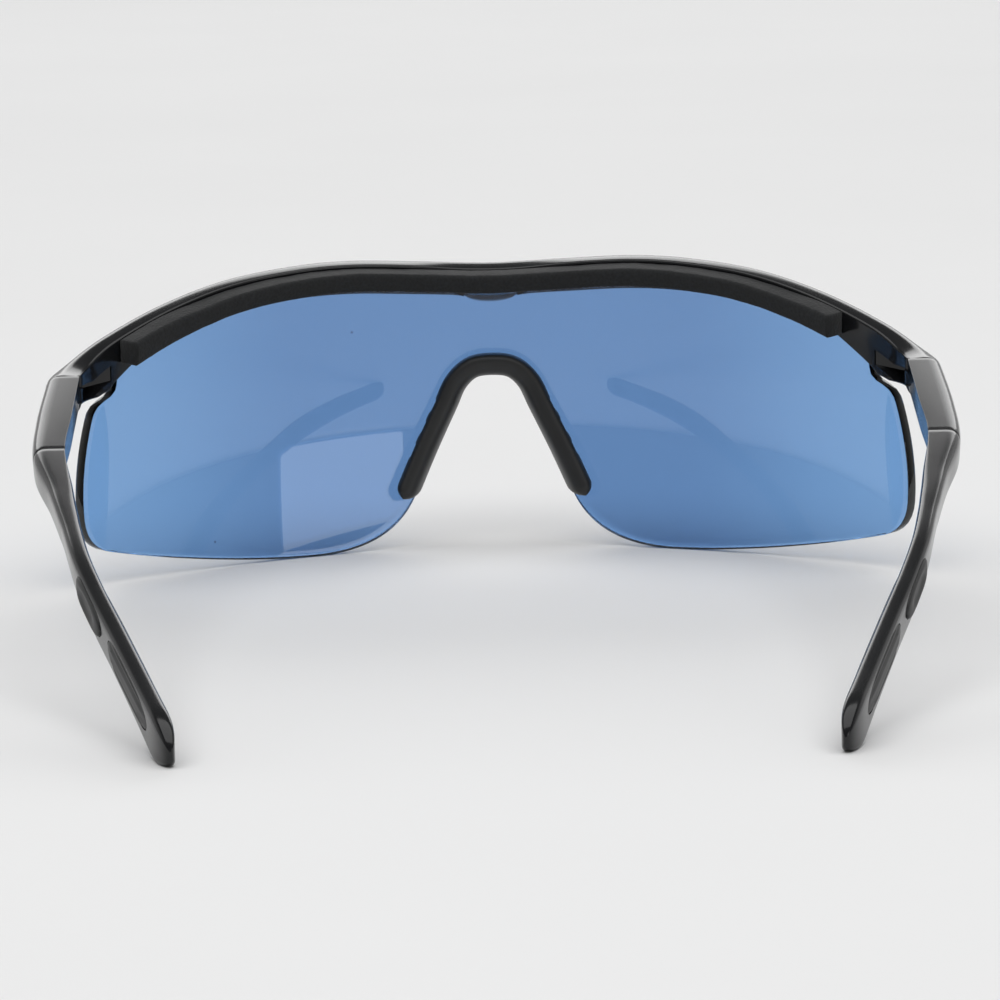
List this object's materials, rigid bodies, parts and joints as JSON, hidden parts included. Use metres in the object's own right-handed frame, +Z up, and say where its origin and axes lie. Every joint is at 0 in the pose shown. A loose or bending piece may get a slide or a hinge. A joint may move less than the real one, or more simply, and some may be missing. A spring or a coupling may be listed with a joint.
{
  "type": "safety glasses",
  "caption": "Wrap-round safety glasses with a blue one-piece lens, foam brow pad, soft nose bridge and folding, sliding temples.",
  "frame": {"origin": "below the middle of the glasses, on the surface that they stand on", "axes": "+Z up, lens facing -Y, temples running to +Y, wearer's left at +X"},
  "size_m": [0.1434, 0.1529, 0.0489],
  "materials": {
    "gloss_black": "smooth moulded gloss",
    "blue_lens": "polished tinted polycarbonate",
    "foam": "closed-cell foam",
    "soft_rubber": "satin soft rubber",
    "pin_steel": "plain steel"
  },
  "bodies": {
    "front": {"brow_frame": "gloss_black", "lens": "blue_lens", "brow_pad": "foam", "nose_bridge": "soft_rubber", "left_hinge_pin": "pin_steel", "right_hinge_pin": "pin_steel"},
    "left_block": {"left_hinge_block": "gloss_black"},
    "left_arm": {"left_temple_arm": "gloss_black", "left_outer_front_grip": "soft_rubber", "left_outer_rear_grip": "soft_rubber", "left_inner_grip": "soft_rubber"},
    "right_block": {"right_hinge_block": "gloss_black"},
    "right_arm": {"right_temple_arm": "gloss_black", "right_outer_front_grip": "soft_rubber", "right_outer_rear_grip": "soft_rubber", "right_inner_grip": "soft_rubber"}
  },
  "joints": [
    {"name": "left_temple_fold", "type": "hinge", "parent": "front", "child": "left_block", "pos_m": [0.0675, -0.0381, 0.0326], "axis": [0, 0, 1], "range_deg": [0, 83]},
    {"name": "left_temple_length", "type": "slide", "parent": "left_block", "child": "left_arm", "axis": [0, 0.9701, -0.2425], "range_m": [0, 0.009]},
    {"name": "right_temple_fold", "type": "hinge", "parent": "front", "child": "right_block", "pos_m": [-0.0675, -0.0381, 0.0326], "axis": [0, 0, -1], "range_deg": [0, 77]},
    {"name": "right_temple_length", "type": "slide", "parent": "right_block", "child": "right_arm", "axis": [0, 0.9701, -0.2425], "range_m": [0, 0.009]}
  ]
}
